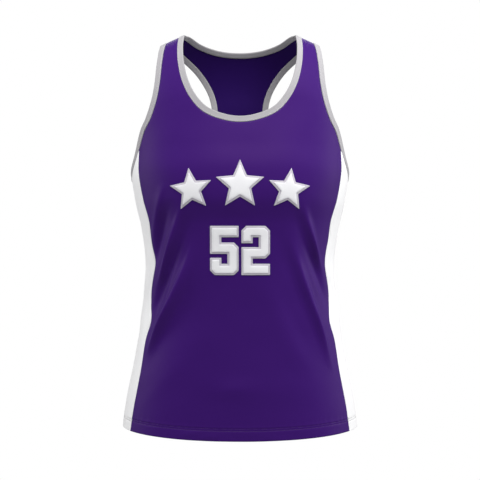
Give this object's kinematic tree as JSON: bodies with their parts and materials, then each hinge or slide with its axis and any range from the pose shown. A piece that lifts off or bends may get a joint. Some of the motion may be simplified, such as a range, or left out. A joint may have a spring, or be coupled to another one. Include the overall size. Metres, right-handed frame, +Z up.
{
  "type": "volleyball tank top",
  "caption": "Sleeveless racer-back volleyball tank top, scoop neck, contrast side panels and bindings, applique chest motifs, filled out as worn with neck, hem and armholes open.",
  "frame": {"origin": "Midway between the shoulders, level with the highest points of the neck binding, where the wearer's shoulders carry the straps", "axes": "+X towards the wearer's left, +Y towards the back, so that the front faces -Y, +Z up"},
  "size_m": [0.3732, 0.2473, 0.629],
  "materials": {
    "purple_knit": "fine interlock knit, purple, slight sheen",
    "white_knit": "fine interlock knit, white",
    "grey_binding": "ribbed knit binding, light grey",
    "grey_twill": "tackle twill backing, grey",
    "white_twill": "tackle twill, white"
  },
  "bodies": {
    "root": {"front_panel": "purple_knit", "back_panel": "purple_knit", "side_panel_left": "white_knit", "side_panel_right": "white_knit", "neck_binding": "grey_binding", "armhole_binding_left": "grey_binding", "armhole_binding_right": "grey_binding", "star_right_backing": "grey_twill", "star_right_face": "white_twill", "star_middle_backing": "grey_twill", "star_middle_face": "white_twill", "star_left_backing": "grey_twill", "star_left_face": "white_twill", "digit_left_backing": "grey_twill", "digit_left_face": "white_twill", "digit_right_backing": "grey_twill", "digit_right_face": "white_twill"}
  },
  "joints": []
}
